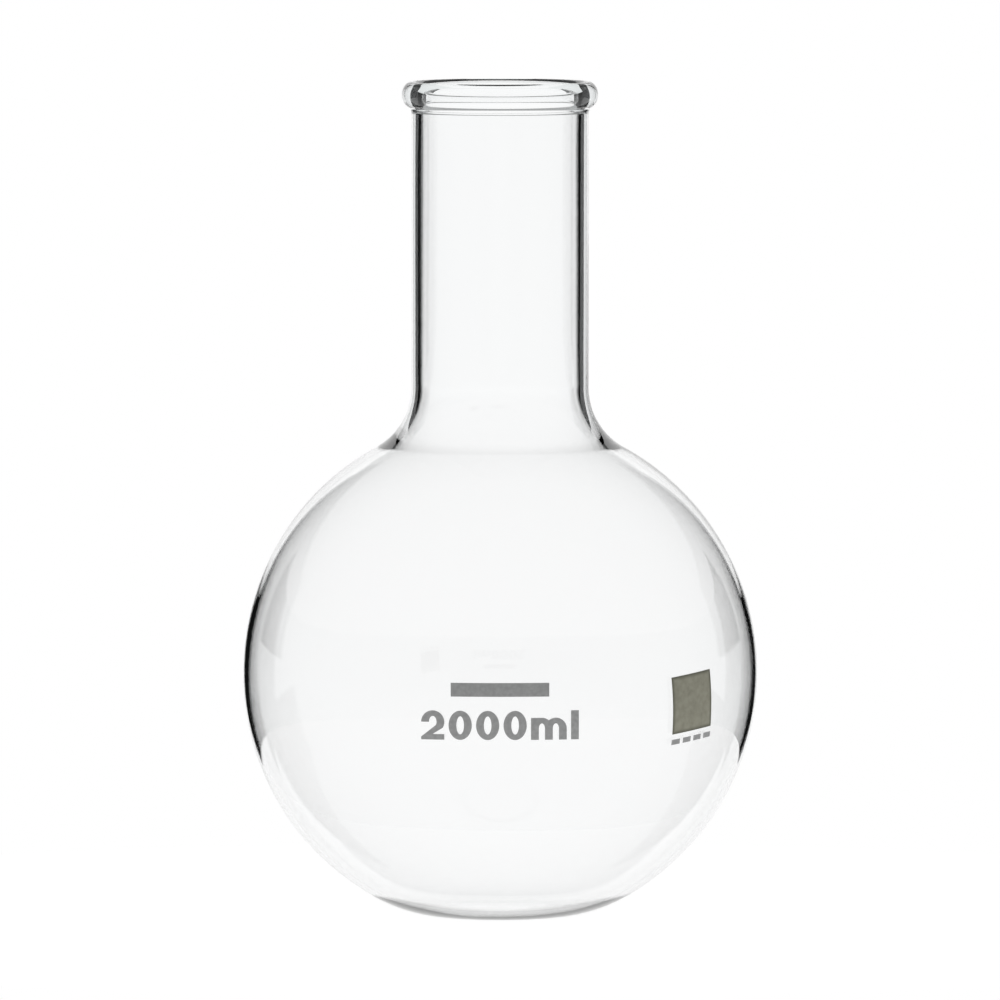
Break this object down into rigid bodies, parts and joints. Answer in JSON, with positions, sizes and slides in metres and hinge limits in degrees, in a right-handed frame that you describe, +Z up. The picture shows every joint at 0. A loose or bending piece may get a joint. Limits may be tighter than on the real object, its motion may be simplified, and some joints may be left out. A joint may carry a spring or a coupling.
{
  "type": "round bottom flask",
  "caption": "Clear glass laboratory flask with a round bulb, a wide plain neck and a rolled bead at its open mouth, marked with its capacity and a patch to write on.",
  "frame": {"origin": "centre of the small flat that the flask rests on, below the middle of the bulb", "axes": "+Z up the neck, along the flask's axis; -Y towards the front, where the capacity is printed; +X towards the marking patch"},
  "size_m": [0.1656, 0.1664, 0.2695],
  "materials": {
    "borosilicate": "clear, smooth, fire-polished",
    "grey_enamel": "fired-on enamel, satin",
    "olive_enamel": "fired-on enamel, matt, takes a pencil"
  },
  "bodies": {
    "root": {"glass": "borosilicate", "plain_bar": "grey_enamel", "capacity_2": "grey_enamel", "capacity_0_first": "grey_enamel", "capacity_0_second": "grey_enamel", "capacity_0_third": "grey_enamel", "capacity_m": "grey_enamel", "capacity_l": "grey_enamel", "marking_patch": "olive_enamel", "grade_dash_1": "grey_enamel", "grade_dash_2": "grey_enamel", "grade_dash_3": "grey_enamel", "grade_dash_4": "grey_enamel"}
  },
  "joints": []
}
